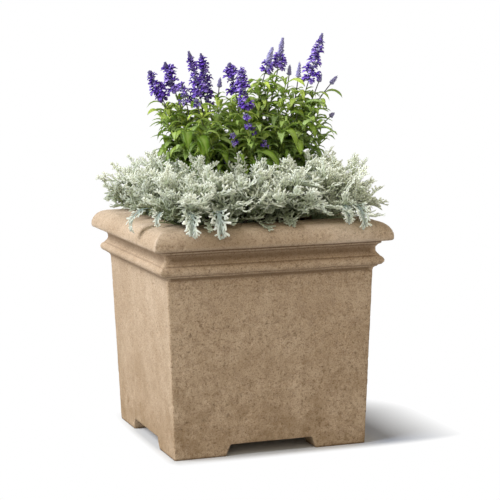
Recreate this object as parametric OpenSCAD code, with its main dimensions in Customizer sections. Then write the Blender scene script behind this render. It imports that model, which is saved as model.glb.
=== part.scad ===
// Square cast-stone planter with a moulded rim and four bracket feet. It stands filled and planted:
// dusty miller round the edge and blue sage in the middle. Millimetres, +Z up. The origin is on the
// ground under the middle of the planter, and the planter's front looks along -Y.

/* [Planter shell] */
// Width of the rim, nose to nose
rim_w = 600; // [590:5:760]
// Height from the ground to the crest of the rim
planter_h = 556; // [460:4:700]
// How far the rim's nose stands out past the wall at the neck
rim_out = 40; // [38:1:50]
// How far each wall comes in from the neck to the ground
wall_taper = 15.5; // [5:0.5:30]
// Thickness of the wall at the mouth
wall_t = 57; // [48:1:70]
// How far each side of the hollow comes in from its mouth to its floor
hollow_taper = 10; // [4:1:20]
// Corner radius of the hollow
hollow_r = 34; // [15:1:60]
// Thickness of the floor
floor_t = 50; // [30:1:70]
// Radius that eases the shell's upright corners
arris_r = 6; // [3:0.5:12]
// Radius of the shell's edge at the ground
edge_r = 3; // [1:0.5:5]

/* [Rim and neck moulding] */
// Height of the rim's quarter-round, from its nose to its crest
roll_h = 44; // [34:1:56]
// How far the quarter-round reaches in from the nose
roll_w = 38; // [25:1:48]
// Height of the rim's sloping underside
soffit_h = 8; // [5:1:12]
// Radius of the rim's nose
nose_r = 7; // [4:1:10]
// Radius of the rim's inner edge
lip_r = 10; // [4:1:14]
// How far the rim stands out past the fillet under it
overhang = 24; // [15:1:27]
// Height of the fillet under the rim
fillet_h = 7; // [4:1:10]
// How far the edge of the cove lies in from the nose
cove_in = 28.5; // [28:0.5:34]
// Height of the cove
cove_h = 27; // [20:1:36]
// Depth of the cove behind its two edges
cove_d = 6.7; // [3:0.1:10]
// Height of the small fillet between the cove and the bead
quirk_h = 3; // [1:0.5:5]
// Radius of the bead
bead_r = 11; // [7:0.5:14]
// Radius of the hollow curve that leads from the wall to the bead
cavetto_r = 8; // [4:0.5:10]
// Height of the fillet between that curve and the bead
neck_fillet_h = 4; // [2:0.5:8]

/* [Feet and drain] */
// Height of the feet
foot_h = 28.5; // [20:0.5:38]
// Length of a foot along the wall, at the ground
foot_l = 129; // [90:1:160]
// How much longer a foot is at its top than at the ground
foot_draft = 9; // [3:1:15]
// Radius of the corner between a foot and the skirt
foot_r = 6; // [2:1:10]
// Thickness of the skirt that ends in the feet
skirt_t = 68; // [45:1:90]
// Height of the recess under the floor
recess_h = 40; // [40:1:60]
// Diameter of the drain hole
drain_d = 32; // [20:1:50]

/* [Filling] */
// Diameter of the drain screen
screen_d = 120; // [70:2:160]
// Thickness of the drain screen
screen_t = 2; // [1:0.5:4]
// Diameter of the holes in the screen
screen_hole_d = 6; // [4:0.5:8]
// Distance between the screen's holes
screen_pitch = 10; // [10:0.5:16]
// Depth of the gravel
gravel_h = 45; // [20:1:80]
// Thickness of the filter cloth
cloth_t = 2.5; // [1.5:0.5:5]
// How far the potting mix lies below the crest of the rim
soil_drop = 28; // [20:1:60]
// Gap between pieces that lie against each other
fit_gap = 0.3; // [0.2:0.05:0.6]

/* [Root balls] */
// Distance from the side of the mouth to the middle of an edge plant
edge_inset = 53; // [45:1:60]
// Top diameter of a dusty miller's root ball
dusty_ball_d = 66; // [50:1:80]
// Top diameter of a sage's root ball
sage_ball_d = 78; // [60:1:94]
// Depth of the root balls
ball_h = 95; // [60:1:140]

/* [Dusty miller] */
// Height of a stem
dusty_stem_h = 112; // [90:1:136]
// How far a stem leans out over the rim
dusty_lean = 80; // [50:1:96]
// Length of the lowest leaf
dusty_leaf_l = 125; // [80:1:150]
// Width of the widest leaf
dusty_leaf_w = 60; // [30:1:72]
// Number of leaves on a plant
dusty_leaves = 14; // [6:1:14]

/* [Sage] */
// Length of the longest leaf
sage_leaf_l = 76; // [40:1:92]
// Width of the widest leaf
sage_leaf_w = 20; // [8:1:24]
// Angle through which a leaf bends down
sage_droop = 95; // [60:1:110]
// Diameter of the lowest whorl on the longest flower spikes
whorl_d = 36; // [20:1:44]
// Distance between two whorls
whorl_pitch = 11; // [8:0.5:16]

/* [Hidden] */
EDGE_PLANTS = 10;
MIDDLE_PLANTS = 4;

stone = [0.66, 0.55, 0.43];
silver = [0.74, 0.79, 0.74];
leaf_green = [0.36, 0.50, 0.16];
violet = [0.33, 0.22, 0.62];
soil_brown = [0.17, 0.12, 0.09];
root_brown = [0.36, 0.29, 0.22];

// How far a cut runs past the surface that it opens
overcut = 1;

// Half widths of the shell, from the rim's nose inwards
nose_a = rim_w / 2;
fillet_a = nose_a - overhang;
cove_a = nose_a - cove_in;
bead_a = cove_a - 1;
neck_a = nose_a - rim_out;
base_a = neck_a - wall_taper;
mouth_a = neck_a - wall_t;
crest_a = mouth_a + 1.5 * lip_r;
recess_a = base_a - skirt_t;

// Heights of the moulding, from the rim's nose downwards
nose_z = planter_h - roll_h;
soffit_z = nose_z - soffit_h;
cove_top_z = soffit_z - fillet_h;
cove_z = cove_top_z - cove_h / 2;
bead_z = cove_top_z - cove_h - quirk_h - bead_r;
bead_low_z = bead_z - bead_r;
cavetto_z = bead_low_z - neck_fillet_h - cavetto_r;

// Heights of the filling, from the floor upwards
floor_z = recess_h + floor_t;
gravel_z = floor_z + fit_gap;
cloth_z = gravel_z + gravel_h + fit_gap;
mix_z = cloth_z + cloth_t + fit_gap;
soil_z = planter_h - soil_drop;

// Points of an ellipse's arc, from one angle to another
function arc(cx, cz, rx, rz, from, to, steps) =
    [for (i = [0:steps]) let (t = from + (to - from) * i / steps) [cx + rx * cos(t), cz + rz * sin(t)]];

// A closed outline from its right half, given from the bottom up
function mirrored(half) = concat(half, [for (i = [len(half) - 1:-1:0]) [-half[i][0], half[i][1]]]);

// The cove is the arc through its two edges and its deepest line
cove_r = (cove_h * cove_h / 4 + cove_d * cove_d) / (2 * cove_d);
cove_turn = asin(cove_h / 2 / cove_r);

// The angles at which the curves of the moulding break into arrises
bead_top_turn = 78;
roll_low_turn = 8;
roll_top_turn = 84;

// The rim's top rises this much from the quarter-round to the crest
crest_rise = 4.5;

// Right half of the shell's outline, from the ground to the crest: wall, cavetto, bead, cove,
// fillet, soffit, nose and quarter-round
outline = concat(
    arc(base_a - edge_r, edge_r, edge_r, edge_r, -90, 0, 3),
    arc(neck_a + cavetto_r, cavetto_z, cavetto_r, cavetto_r, 180, 90, 4),
    [[neck_a + cavetto_r, bead_low_z]],
    arc(bead_a, bead_z, bead_r, bead_r, -90, bead_top_turn, 10),
    arc(cove_a - cove_d + cove_r, cove_z, cove_r, cove_r, 180 + cove_turn, 180 - cove_turn, 8),
    [[fillet_a, cove_top_z], [fillet_a, soffit_z - 1], [nose_a - nose_r, soffit_z + 1]],
    arc(nose_a - nose_r, nose_z, nose_r, soffit_h - 1, -90, 0, 3),
    arc(nose_a - roll_w, nose_z, roll_w, roll_h - crest_rise, roll_low_turn, roll_top_turn, 9),
    [[(nose_a - roll_w + crest_a) / 2, planter_h - 0.35 * crest_rise], [crest_a, planter_h]]
);

// Solid through rings of equally many points, with flat ends
module skin(rings) {
    n = len(rings[0]);
    top = n * (len(rings) - 1);
    sides = [for (a = [0:n:top - n]) for (i = [0:n - 1]) let (j = (i + 1) % n)
        each [[a + i, a + n + i, a + n + j], [a + i, a + n + j, a + j]]];
    ends = [[for (i = [0:n - 1]) i], [for (i = [n - 1:-1:0]) top + i]];
    polyhedron([for (r = rings) each r], concat(ends, sides), convexity = 4);
}

// The same with a point at each end
module spindle(foot, rings, tip) {
    n = len(rings[0]);
    top = n * (len(rings) - 1);
    sides = [for (a = [0:n:top - n]) for (i = [1:n]) let (j = i % n + 1)
        each [[a + i, a + n + i, a + n + j], [a + i, a + n + j, a + j]]];
    ends = [for (i = [1:n]) let (j = i % n + 1) each [[0, i, j], [top + n + 1, top + j, top + i]]];
    polyhedron(concat([foot], [for (r = rings) each r], [tip]), concat(ends, sides), convexity = 4);
}

// Points of a level square with rounded corners
function square_ring(z, half, r, steps = 5) =
    [for (q = [0:3]) for (i = [0:steps])
        let (t = 90 * (q + i / steps), c = half - r, sx = (q == 0 || q == 3) ? 1 : -1, sy = q < 2 ? 1 : -1)
        [c * sx + r * cos(t), c * sy + r * sin(t), z]];

// Points of a level circle round a point
function ring_at(at, r, n) = [for (i = [0:n - 1]) at + r * [cos(360 * i / n), sin(360 * i / n), 0]];

// The outline swept round a square plan: two crossed extrusions share what mitres at the corners
module mitred_block() {
    intersection() {
        rotate([90, 0, 0]) linear_extrude(rim_w + 2 * overcut, center = true) polygon(mirrored(outline));
        rotate([90, 0, 90]) linear_extrude(rim_w + 2 * overcut, center = true) polygon(mirrored(outline));
    }
}

// Square tower that just clears the walls and the rim, and whose round corners ease the mitres
module corner_easing() {
    clear = 0.5;
    skin([
        square_ring(-overcut, base_a + clear, arris_r),
        square_ring(cavetto_z, neck_a + clear, arris_r),
        square_ring(cavetto_z + 0.1, nose_a + clear, arris_r),
        square_ring(planter_h + overcut, nose_a + clear, arris_r)
    ]);
}

// Half width of the hollow at a height
lip_z = planter_h - lip_r;
function hollow_a(z) = mouth_a - hollow_taper * (lip_z - z) / (lip_z - floor_z);

// The hollow, which flares out over the rounded lip
module hollow() {
    lip = [for (t = [0:22.5:90])
        square_ring(lip_z + lip_r * sin(t), mouth_a + lip_r * (1 - cos(t)), hollow_r + lip_r * (1 - cos(t)))];
    skin(concat(
        [square_ring(floor_z, hollow_a(floor_z), hollow_r)],
        lip,
        [square_ring(planter_h + overcut, mouth_a + lip_r, hollow_r + lip_r)]
    ));
}

// The gap between two feet, as a bar that runs right through the skirt
module foot_gap() {
    low_a = base_a - foot_l;
    top_a = low_a - foot_draft;
    half = concat([[low_a, -overcut]], arc(top_a - foot_r, foot_h - foot_r, foot_r, foot_r, 0, 90, 3));
    rotate([90, 0, 0]) linear_extrude(2 * base_a + 2 * overcut, center = true) polygon(mirrored(half));
}

module planter_shell() {
    color(stone) difference() {
        intersection() {
            mitred_block();
            corner_easing();
        }
        hollow();
        translate([-recess_a, -recess_a, -overcut]) cube([2 * recess_a, 2 * recess_a, recess_h + overcut]);
        for (turn = [0, 90]) rotate(turn) foot_gap();
        translate([0, 0, recess_h - overcut]) cylinder(d = drain_d, h = floor_t + 2 * overcut, $fn = 64);
    }
}

module drain_screen() {
    rings = floor((screen_d / 2 - screen_hole_d) / screen_pitch);
    color("dimgray") translate([0, 0, floor_z]) linear_extrude(screen_t) difference() {
        circle(d = screen_d, $fn = 96);
        circle(d = screen_hole_d, $fn = 24);
        for (k = [1:rings]) for (i = [1:6 * k])
            rotate(60 * i / k) translate([k * screen_pitch, 0]) circle(d = screen_hole_d, $fn = 24);
    }
}

// A layer of the filling between two heights, clear of the side of the hollow
module layer(z0, z1) {
    skin([for (z = [z0, z1]) square_ring(z, hollow_a(z) - fit_gap, hollow_r - fit_gap)]);
}

module drainage_gravel() {
    color("darkgray") difference() {
        layer(gravel_z, gravel_z + gravel_h);
        translate([0, 0, floor_z - overcut])
            cylinder(d = screen_d + 2 * fit_gap, h = screen_t + fit_gap + overcut, $fn = 96);
    }
}

module filter_cloth() {
    color("gray") layer(cloth_z, cloth_z + cloth_t);
}

// Where the plants stand, as [across, back]: dusty millers in a ring inside the mouth, sages in the middle
edge_a = mouth_a - edge_inset;
edge_spots = edge_a * [[-1, -1], [-1/3, -1], [1/3, -1], [1, -1], [1, 0],
                       [1, 1], [1/3, 1], [-1/3, 1], [-1, 1], [-1, 0]];
sage_spots = edge_a * [[-0.5, 0.25], [-0.2, -0.32], [0.52, -0.3], [0.33, 0.36]];
all_spots = concat(edge_spots, sage_spots);

module at_spot(spot) {
    translate([spot[0], spot[1], soil_z]) children();
}

// A root ball keeps the taper and the rounded foot of the pot that it grew in
module root_ball(d, grow = 0) {
    round_r = 8;
    top_r = d / 2 + grow;
    foot_a = 0.8 * d / 2 + grow - round_r;
    side = concat([[0, -ball_h - grow]], arc(foot_a, round_r - ball_h - grow, round_r, round_r, -90, 0, 4));
    rotate_extrude($fn = 48) polygon(concat(side, [[top_r, 0], [top_r, grow], [0, grow]]));
}

module dusty_root_ball(i) {
    color(root_brown) at_spot(edge_spots[i]) root_ball(dusty_ball_d);
}

module sage_root_ball(i) {
    color(root_brown) at_spot(sage_spots[i]) root_ball(sage_ball_d);
}

module potting_mix() {
    color(soil_brown) difference() {
        layer(mix_z, soil_z);
        for (spot = edge_spots) at_spot(spot) root_ball(dusty_ball_d, fit_gap);
        for (spot = sage_spots) at_spot(spot) root_ball(sage_ball_d, fit_gap);
    }
}

// Leaves follow each other round a stem at this angle
golden_angle = 137.5;
// Thickness of every leaf at its midrib
leaf_t = 2.4;
// A leaf with no room to get longer than this isn't grown
least_leaf_l = 25;
// Gap between a leaf and the ground of the next plant
leaf_clear = 4;

// A point of a leaf that leaves its stem at angle rise and bends down by droop over its length:
// s runs from foot to tip, w is the distance from the midrib, h the height over it
function leaf_point(l, rise, droop, s, w, h) =
    let (r = l * 180 / PI / droop, t = rise - droop * s)
    [r * (sin(rise) - sin(t)) - h * sin(t), w, r * (cos(t) - cos(rise)) + h * cos(t)];

// How far a leaf reaches outwards for each millimetre of its length
function leaf_reach(rise, droop) = leaf_point(1, rise, droop, 1, 0, 0)[0];

// How far a leaf may reach from a point in a direction before it meets the ground of another
// plant. That ground begins halfway between the spots of the two plants.
function room(at, turn, spot, spots) = min([for (q = spots) if (q != spot)
    let (v = (q - spot) / norm(q - spot), c = v * [cos(turn), sin(turn)])
    c < 0.15 ? rim_w : (((spot + q) / 2 - at) * v - leaf_clear) / c]);

// The longest a leaf can be in the room that it has
function grown_l(l, rise, droop, at, turn, spot, spots) =
    min(l, room([at[0], at[1]] + spot, turn, spot, spots) / leaf_reach(rise, droop));

// A leaf cut into lobes. Along the midrib: where the notches and the points of the lobes lie.
// Across it: how far each reaches, as a share of half the width.
notch_s = [0.16, 0.40, 0.63, 0.84];
notch_w = [0.12, 0.24, 0.22, 0.16];
lobe_s = [0.38, 0.62, 0.84];
lobe_w = [0.82, 1.00, 0.70];
lobe_lift = 0.12;

module lobed_leaf(l, w, rise, droop) {
    n = len(notch_s);
    rib = [for (h = [leaf_t / 2, -leaf_t / 2]) for (s = notch_s) leaf_point(l, rise, droop, s, 0, h)];
    notches = [for (a = [-w / 2, w / 2]) for (i = [0:n - 1])
        leaf_point(l, rise, droop, notch_s[i], a * notch_w[i], 0)];
    lobes = [for (a = [-w / 2, w / 2]) for (i = [0:n - 2])
        leaf_point(l, rise, droop, lobe_s[i], a * lobe_w[i], lobe_lift * w * lobe_w[i])];
    ends = [for (s = [0, 1]) leaf_point(l, rise, droop, s, 0, 0)];
    foot = 4 * n + 2 * (n - 1);
    // Four sheets of triangles: over and under the leaf, left and right of the midrib
    faces = [for (side = [0, 1]) for (under = [0, 1])
        let (r = under * n, e = (2 + side) * n, b = 4 * n + side * (n - 1))
        for (f = concat(
            [[foot, e, r], [r + n - 1, e + n - 1, foot + 1]],
            [for (i = [0:n - 2])
                each [[r + i, e + i, b + i], [r + i, b + i, r + i + 1], [r + i + 1, b + i, e + i + 1]]]))
            side == under ? [f[2], f[1], f[0]] : f];
    polyhedron(concat(rib, notches, lobes, ends), faces, convexity = 6);
}

// A lance-shaped leaf, widest at a third of its length
module lance_leaf(l, w, rise, droop) {
    stations = [[0.30, 0.50 * w], [0.68, 0.38 * w]];
    spindle(
        leaf_point(l, rise, droop, 0, 0, 0),
        [for (q = stations) [
            leaf_point(l, rise, droop, q[0], 0, leaf_t / 2),
            leaf_point(l, rise, droop, q[0], -q[1], 0),
            leaf_point(l, rise, droop, q[0], 0, -leaf_t / 2),
            leaf_point(l, rise, droop, q[0], q[1], 0)
        ]],
        leaf_point(l, rise, droop, 1, 0, 0)
    );
}

// The woody foot by which a plant stands on its root ball
module crown() {
    cylinder(d = 14, h = 9, $fn = 8);
}

// Lobed leaves in a spiral up a leaning stem. The low ones are long and spread flat, and those
// that reach outwards are longer than the rest.
module dusty_miller(i) {
    spot = edge_spots[i];
    out = atan2(spot[1], spot[0]);
    lean = dusty_lean * (abs(spot[0]) == abs(spot[1]) ? 1.3 : 1);
    top = [lean * cos(out), lean * sin(out), dusty_stem_h];
    outward_gain = 0.25;
    color(silver) at_spot(spot) {
        crown();
        skin([ring_at([0, 0, 1], 5, 5), ring_at(0.5 * top, 3.5, 5), ring_at(top, 2, 5)]);
        for (k = [0:dusty_leaves - 1]) {
            t = k / (dusty_leaves - 1);
            at = top * (0.42 + 0.56 * t);
            turn = golden_angle * k + 41 * i;
            rise = 30 + 52 * t;
            droop = 66 - 26 * t;
            longest = dusty_leaf_l * (1 - 0.3 * t) * (1 + outward_gain * cos(turn - out));
            l = grown_l(longest, rise, droop, at, turn, spot, all_spots);
            if (l > least_leaf_l)
                translate(at) rotate(turn) lobed_leaf(l, min(dusty_leaf_w, 0.56 * l), rise, droop);
        }
    }
}

// Tips of the flower spikes of each sage, as [across, back, height over the mix, length of the spike]
spikes = [
    [[-215, 20, 386, 72], [-176, 60, 408, 66], [-134, 10, 352, 44], [-112, 34, 434, 108]],
    [[-82, -40, 427, 122], [-44, -60, 363, 24], [-18, -44, 402, 72], [2, -70, 369, 86]],
    [[144, -50, 394, 28], [222, -34, 472, 120], [226, -70, 370, 26], [262, -30, 364, 30]],
    [[96, 20, 440, 58], [132, 34, 463, 74], [170, 60, 401, 42], [60, 90, 380, 30]]
];
// Tips of the leafy shoots of each sage, as [across, back, height over the mix]
shoots = [
    [[-190, -10, 260], [-110, 120, 270], [-60, 70, 320]],
    [[-100, -110, 240], [20, -120, 235], [-10, -20, 300]],
    [[180, -110, 250], [100, -110, 240], [130, -20, 340]],
    [[180, 110, 280], [20, 140, 270], [60, 30, 340]]
];

// Below this height a sage's leaves keep clear of the dusty millers too
dusty_top = 2 * dusty_stem_h;

// A tip's place, seen from the foot of its plant
function from_spot(tip, spot) = [tip[0] - spot[0], tip[1] - spot[1], tip[2]];

// A stem leaves its crown steeply and bows towards its tip: t runs from 0 at the crown to 1
function stem_point(tip, t) =
    2 * t * (1 - t) * [0.25 * tip[0], 0.25 * tip[1], 0.55 * tip[2]] + t * t * tip;

// Where on its stem a flower spike begins
function spike_start(tip, l) = 1 - l / norm(tip);

// A stem with crossed pairs of leaves, which get shorter towards its tip
module sage_stem(spot, tip, end, pairs, turn) {
    stem_r = 2.8;
    skin([for (t = [0.02, 0.2, 0.4, 0.6, 0.8, 1]) ring_at(stem_point(tip, end * t), stem_r * (1 - 0.5 * t), 5)]);
    for (k = [1:pairs]) for (side = [0, 180]) {
        at = stem_point(tip, end * (0.36 + 0.52 * k / pairs));
        way = turn + 90 * k + side;
        rise = 36 + 24 * k / pairs;
        longest = sage_leaf_l * (1.1 - 0.25 * k / pairs);
        l = grown_l(longest, rise, sage_droop, at, way, spot, at[2] < dusty_top ? all_spots : sage_spots);
        if (l > least_leaf_l)
            translate(at) rotate(way) lance_leaf(l, min(sage_leaf_w, 0.3 * l), rise, sage_droop);
    }
}

module sage_leaves(i) {
    spot = sage_spots[i];
    color(leaf_green) at_spot(spot) {
        crown();
        for (k = [0:len(spikes[i]) - 1]) {
            tip = from_spot(spikes[i][k], spot);
            sage_stem(spot, tip, spike_start(tip, spikes[i][k][3]), 4, 35 * k + 20);
        }
        for (k = [0:len(shoots[i]) - 1])
            sage_stem(spot, from_spot(shoots[i][k], spot), 1, 4, 50 * k + 20);
    }
}

// A spike from its foot to its tip: whorls of florets stand out from the stem as star-shaped
// rings, each turned half a floret from the last, and shrink to the closed bud at the tip
module flower_spike(foot, tip) {
    l = norm(tip - foot);
    whorls = max(2, round(l / whorl_pitch));
    full_r = whorl_d / 2 * min(1, 0.55 + l / 200);
    points = 8;
    // Narrow and wide rings take turns
    rings = [for (k = [0:whorls - 1])
        let (u = k / whorls, wide_r = full_r * (1 - 0.7 * pow(u, 1.5)), half_step = 0.5 / whorls)
        for (wide = [0, 1]) [for (i = [0:points - 1])
            let (t = 360 / points * (i + k / 2), petal = i % 2 == 0 ? 1 : 0.6,
                 r = wide == 1 ? wide_r * petal : 0.3 * full_r * (1 - 0.5 * u))
            foot + (tip - foot) * (u + wide * half_step) + r * [cos(t), sin(t), 0]]];
    skin(concat([ring_at(foot, 1.4, points)], [for (k = [1:len(rings) - 1]) rings[k]], [ring_at(tip, 0.8, points)]));
}

module sage_flowers(i) {
    spot = sage_spots[i];
    color(violet) at_spot(spot)
        for (s = spikes[i]) {
            tip = from_spot(s, spot);
            flower_spike(stem_point(tip, spike_start(tip, s[3])), tip);
        }
}

planter_shell();
drain_screen();
drainage_gravel();
filter_cloth();
potting_mix();
for (i = [0:EDGE_PLANTS - 1]) {
    dusty_root_ball(i);
    dusty_miller(i);
}
for (i = [0:MIDDLE_PLANTS - 1]) {
    sage_root_ball(i);
    sage_leaves(i);
    sage_flowers(i);
}
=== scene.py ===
"""Looks for a square cast-stone planter that is planted with blue sage and dusty miller.

Metres, +Z up, in the frame of the CAD model. The planter's front looks along -Y.
"""

import math

import bmesh
import bpy
import numpy as np
from mathutils import Matrix, Quaternion, Vector


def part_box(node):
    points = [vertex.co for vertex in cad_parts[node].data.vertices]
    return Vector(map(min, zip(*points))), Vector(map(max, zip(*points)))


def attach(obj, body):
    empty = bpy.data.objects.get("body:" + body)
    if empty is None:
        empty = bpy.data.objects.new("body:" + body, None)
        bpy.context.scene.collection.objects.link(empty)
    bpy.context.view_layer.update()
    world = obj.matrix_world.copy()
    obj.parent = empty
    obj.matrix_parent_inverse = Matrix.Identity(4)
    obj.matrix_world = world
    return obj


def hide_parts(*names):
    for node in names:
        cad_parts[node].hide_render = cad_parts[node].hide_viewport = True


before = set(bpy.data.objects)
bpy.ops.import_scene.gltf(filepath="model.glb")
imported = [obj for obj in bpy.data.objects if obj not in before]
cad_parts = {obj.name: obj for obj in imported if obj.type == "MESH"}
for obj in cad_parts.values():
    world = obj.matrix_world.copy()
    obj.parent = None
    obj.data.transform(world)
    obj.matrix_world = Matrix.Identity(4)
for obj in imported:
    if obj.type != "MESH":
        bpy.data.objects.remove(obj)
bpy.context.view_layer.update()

SOIL_Z, RIM_TOP_Z = 0.528, 0.556
# Half widths of the mouth, of the square that the edge plants stand on, and of the feet
MOUTH_A, EDGE_A, FOOT_A = 0.203, 0.15, 0.236
# Places of the silver plants, from the front left corner round to the left side, and of the sage clumps
EDGE_SPOTS = [(-1, -1), (-1 / 3, -1), (1 / 3, -1), (1, -1), (1, 0)]
EDGE_SPOTS = EDGE_A * np.array([*EDGE_SPOTS, *((-x, -y) for x, y in EDGE_SPOTS)])
SAGE_SPOTS = EDGE_A * np.array([[-0.5, 0.25], [-0.2, -0.32], [0.52, -0.3], [0.33, 0.36]])
# The sage clump that has sprigs and broad low leaves as well
FRONT_CLUMP = 1
# The turn from one leaf of a tuft to the next, and the range of angles that a turn starts at
GOLDEN = math.radians(137.508)
ANY_TURN = (0, 6.28)


# Camera, fitted to the planter's corners in the photograph


CAMERA_AT = (-1.35045, -3.99403, 1.00735)
CAMERA_RIGHT = (0.94418, -0.32923, -0.01169)
CAMERA_UP = (0.05317, 0.11727, 0.99168)
CAMERA_BACK = (-0.32512, -0.93694, 0.12823)
LENS_MM, SENSOR_MM = 121.76, 36


def link(obj):
    bpy.context.scene.collection.objects.link(obj)
    return obj


def make_camera():
    data = bpy.data.cameras.new("camera")
    data.lens = LENS_MM
    data.sensor_width = SENSOR_MM
    data.sensor_fit = "HORIZONTAL"
    camera = link(bpy.data.objects.new("camera", data))
    turn = Matrix((CAMERA_RIGHT, CAMERA_UP, CAMERA_BACK)).transposed().to_4x4()
    camera.matrix_world = Matrix.Translation(CAMERA_AT) @ turn
    bpy.context.scene.camera = camera


# Node trees


class Nodes:
    """A tree of nodes that is added to."""

    def __init__(self, tree):
        self.tree = tree

    def add(self, kind, settings=None, **inputs):
        node = self.tree.nodes.new(kind)
        for key, value in (settings or {}).items():
            setattr(node, key, value)
        return self.fill(node, inputs)

    def fill(self, node, inputs):
        for key, value in inputs.items():
            self.put(node.inputs[key.replace("_", " ")], value)
        return node

    def put(self, socket, value):
        if isinstance(value, bpy.types.NodeSocket):
            self.tree.links.new(value, socket)
        else:
            socket.default_value = value

    def calc(self, operation, first, second=0.0):
        node = self.add("ShaderNodeMath", {"operation": operation})
        self.put(node.inputs[0], first)
        self.put(node.inputs[1], second)
        return node.outputs[0]

    def times(self, first, second):
        return self.calc("MULTIPLY", first, second)

    def span(self, value, low, high, to_low=0.0, to_high=1.0):
        """Maps low to to_low and high to to_high, and is level beyond them."""
        ends = {"From_Min": low, "From_Max": high, "To_Min": to_low, "To_Max": to_high}
        return self.add("ShaderNodeMapRange", Value=value, **ends).outputs["Result"]

    def mix(self, amount, first, second):
        """Mixes two colours."""
        node = self.add("ShaderNodeMix", {"data_type": "RGBA"})
        self.put(node.inputs["Factor"], amount)
        for key, color in (("A", first), ("B", second)):
            socket = next(s for s in node.inputs if s.name == key and s.type == "RGBA")
            self.put(socket, color if isinstance(color, bpy.types.NodeSocket) else (*color, 1.0))
        return next(s for s in node.outputs if s.type == "RGBA")

    def paint(self, color, *layers):
        """Lays colours over the first one, each by its own amount."""
        for amount, layer in layers:
            color = self.mix(amount, color, layer)
        return color

    def blend(self, share, first, second):
        """Mixes two shaders."""
        node = self.add("ShaderNodeMixShader", Fac=share)
        self.put(node.inputs[1], first)
        self.put(node.inputs[2], second)
        return node.outputs[0]


class Look(Nodes):
    """A material that starts as a principled shader."""

    def __init__(self, name):
        self.material = bpy.data.materials.new(name)
        self.material.use_nodes = True
        super().__init__(self.material.node_tree)
        self.shader = self.tree.nodes["Principled BSDF"]
        self.surface = self.tree.nodes["Material Output"].inputs["Surface"]
        self.place = self.add("ShaderNodeTexCoord").outputs["Object"]

    def noise(self, scale, detail=2.0, roughness=0.5):
        settings = {"Scale": scale, "Detail": detail, "Roughness": roughness}
        return self.add("ShaderNodeTexNoise", Vector=self.place, **settings).outputs["Fac"]

    def value(self, name):
        """A value that the mesh holds at its points."""
        return self.add("ShaderNodeAttribute", {"attribute_name": name}).outputs["Fac"]

    def share(self, name, most, start=0.0):
        """A value at the points as an amount: none up to start, and most at 1."""
        return self.span(self.value(name), start, 1.0, 0.0, most)

    def bump(self, height, distance, strength=1.0, normal=None):
        node = self.add("ShaderNodeBump", Height=height, Distance=distance, Strength=strength)
        if normal is not None:
            self.put(node.inputs["Normal"], normal)
        return node.outputs["Normal"]

    def let_through(self, color, share, normal):
        """Sends a share of the light through the surface, as a thin leaf does."""
        through = self.add("ShaderNodeBsdfTranslucent", Color=color, Normal=normal)
        self.put(self.surface, self.blend(share, self.shader.outputs[0], through.outputs[0]))

    def finish(self, color, **inputs):
        self.fill(self.shader, {"Base Color": color, **inputs})
        return self.material


# Materials. Distances in them are metres, and scales are repeats to the metre


# A dark earth brown, for dirt and for painted shade
EARTH_AND_SHADE = (0.155, 0.092, 0.045)


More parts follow.
